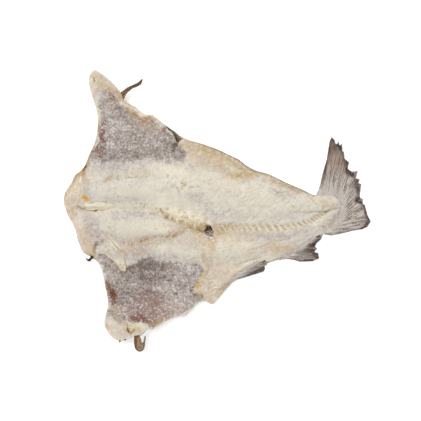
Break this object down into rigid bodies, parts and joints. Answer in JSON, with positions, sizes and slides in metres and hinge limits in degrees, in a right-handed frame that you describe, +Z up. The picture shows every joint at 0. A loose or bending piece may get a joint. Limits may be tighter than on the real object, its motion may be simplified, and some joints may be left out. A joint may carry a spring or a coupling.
{
  "type": "salted dried cod",
  "caption": "Whole cod without its head, split along the belly, opened flat, salted and dried, lying flesh side up with its fins left on.",
  "frame": {"origin": "under the middle of the fish's outline, on the surface that the fish lies on", "axes": "+X from the neck to the tail, +Z up out of the flesh side, +Y to the wider wing's side"},
  "size_m": [0.598, 0.5459, 0.0229],
  "materials": {
    "dried_flesh": "matt, dry and salt-dusted flesh, grey belly lining, dark dried fins and skin"
  },
  "bodies": {
    "root": {"split_cod": "dried_flesh"}
  },
  "joints": []
}
